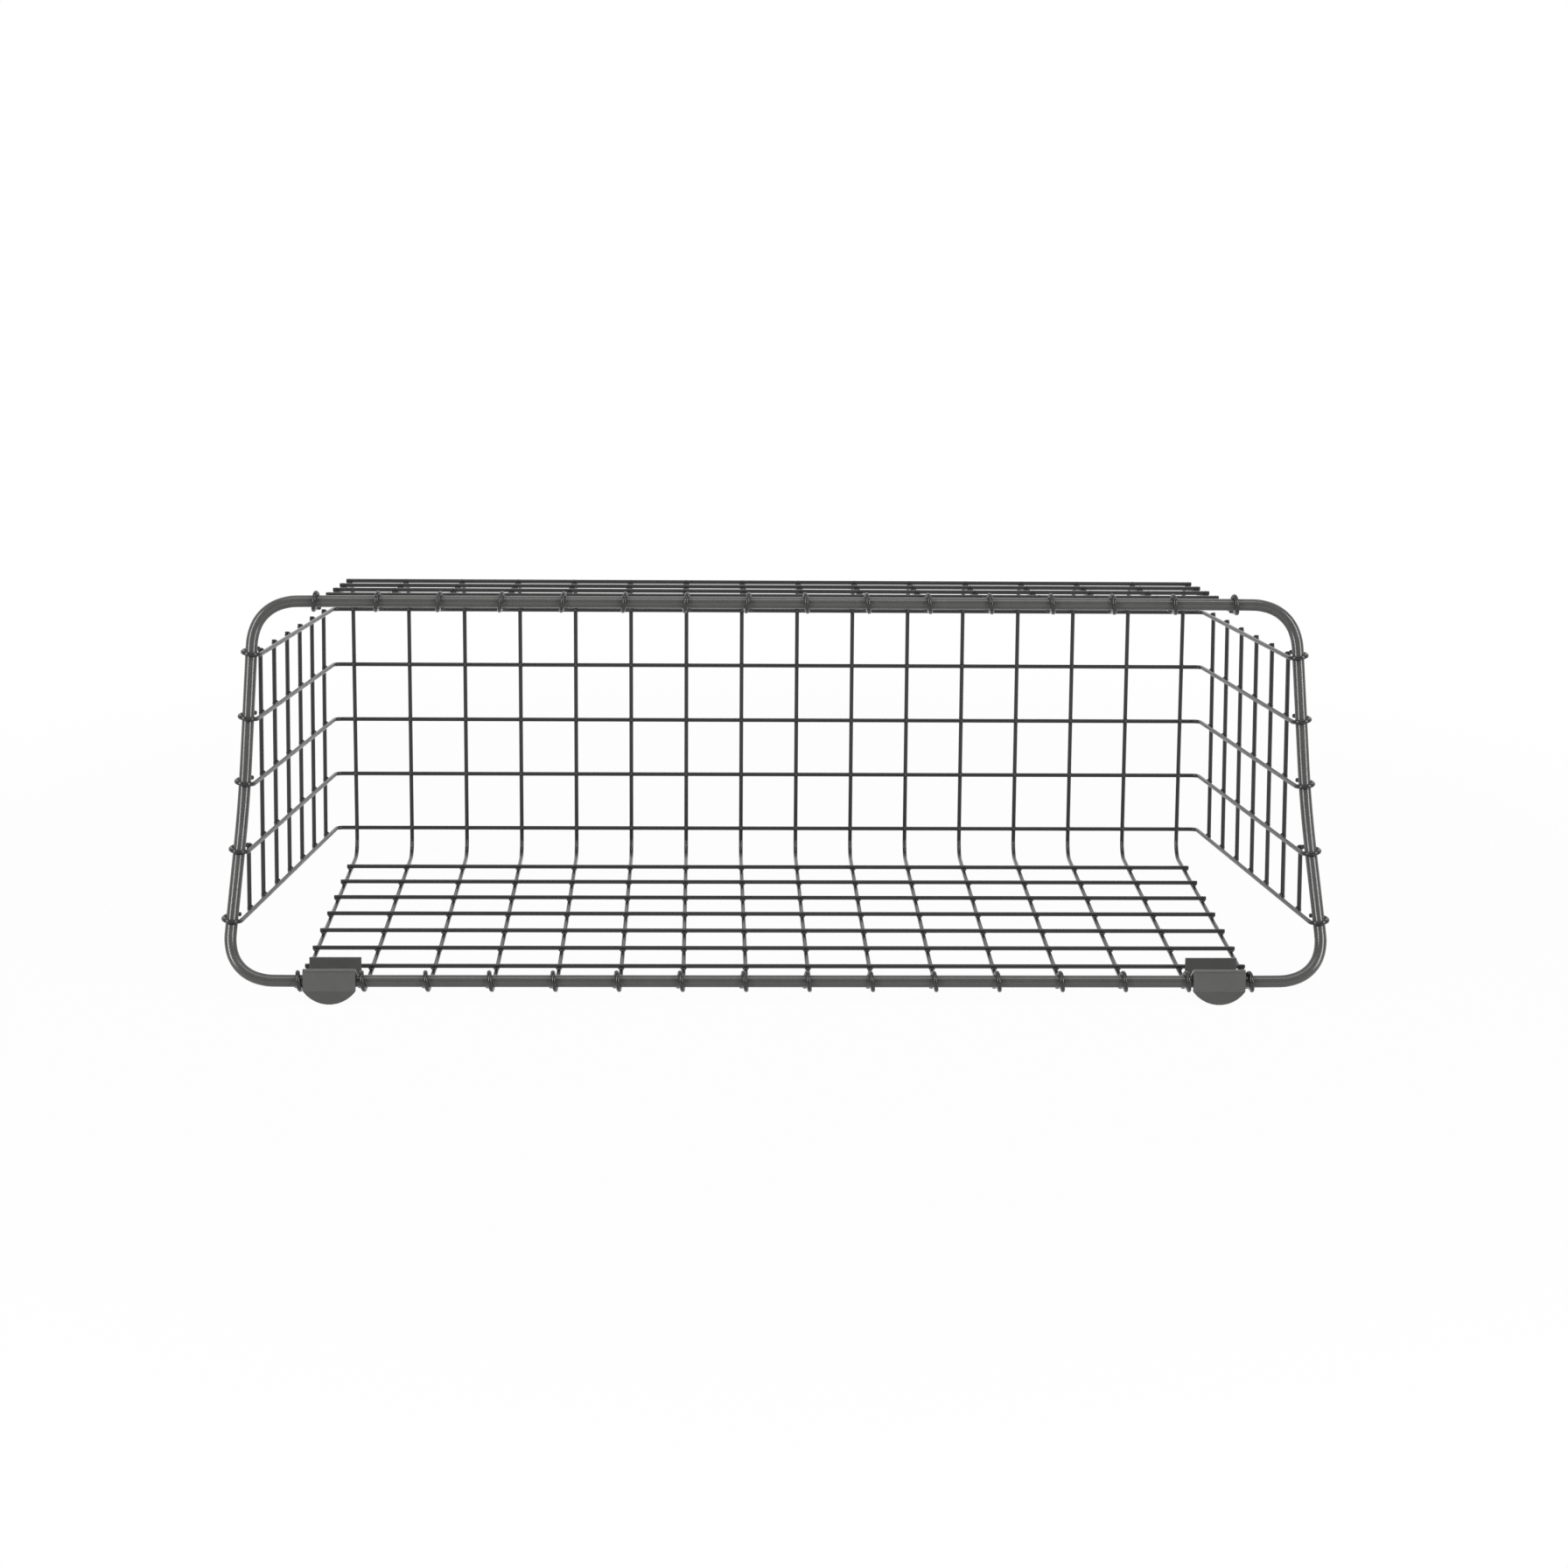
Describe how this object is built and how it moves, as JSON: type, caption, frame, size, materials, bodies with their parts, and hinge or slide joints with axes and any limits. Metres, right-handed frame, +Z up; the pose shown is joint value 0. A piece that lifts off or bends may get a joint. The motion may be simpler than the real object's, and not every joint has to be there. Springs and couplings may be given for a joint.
{
  "type": "steel storage basket",
  "caption": "Low wide storage basket of welded steel mesh with a slanted open front, a thick round-cornered rim wire and two bent sheet clips on the lower bar.",
  "frame": {"origin": "middle of the footprint, on the surface that the basket stands on", "axes": "+X to the right along the rim's long bars as seen from the open mouth, -Y out of the mouth, +Z up"},
  "size_m": [0.447, 0.2238, 0.1515],
  "materials": {
    "painted_wire": "satin",
    "painted_sheet": "satin"
  },
  "bodies": {
    "basket": {"rim": "painted_wire", "long_wire_01": "painted_wire", "long_wire_02": "painted_wire", "long_wire_03": "painted_wire", "long_wire_04": "painted_wire", "long_wire_05": "painted_wire", "long_wire_06": "painted_wire", "long_wire_07": "painted_wire", "long_wire_08": "painted_wire", "long_wire_09": "painted_wire", "long_wire_10": "painted_wire", "long_wire_11": "painted_wire", "long_wire_12": "painted_wire", "long_wire_13": "painted_wire", "long_wire_14": "painted_wire", "long_wire_15": "painted_wire", "long_wire_16": "painted_wire", "hoop_1": "painted_wire", "hoop_2": "painted_wire", "hoop_3": "painted_wire", "hoop_4": "painted_wire", "hoop_5": "painted_wire", "floor_lateral_1": "painted_wire", "floor_lateral_2": "painted_wire", "floor_lateral_3": "painted_wire", "floor_lateral_4": "painted_wire", "floor_lateral_5": "painted_wire", "floor_lateral_6": "painted_wire", "floor_lateral_7": "painted_wire", "top_lateral_1": "painted_wire", "top_lateral_2": "painted_wire", "top_lateral_3": "painted_wire", "top_lateral_4": "painted_wire", "top_lateral_5": "painted_wire", "left_upright_1": "painted_wire", "left_upright_2": "painted_wire", "left_upright_3": "painted_wire", "left_upright_4": "painted_wire", "left_upright_5": "painted_wire", "left_upright_6": "painted_wire", "left_upright_7": "painted_wire", "right_upright_1": "painted_wire", "right_upright_2": "painted_wire", "right_upright_3": "painted_wire", "right_upright_4": "painted_wire", "right_upright_5": "painted_wire", "right_upright_6": "painted_wire", "right_upright_7": "painted_wire"},
    "left_clip_body": {"left_clip": "painted_sheet"},
    "right_clip_body": {"right_clip": "painted_sheet"}
  },
  "joints": [
    {"name": "left_clip_hinge", "type": "hinge", "parent": "basket", "child": "left_clip_body", "pos_m": [-0.1788, -0.10636, 0.0082], "axis": [1, 0, 0], "range_deg": [-90, 90]},
    {"name": "right_clip_hinge", "type": "hinge", "parent": "basket", "child": "right_clip_body", "pos_m": [0.1768, -0.10636, 0.0082], "axis": [1, 0, 0], "range_deg": [-90, 90]}
  ]
}
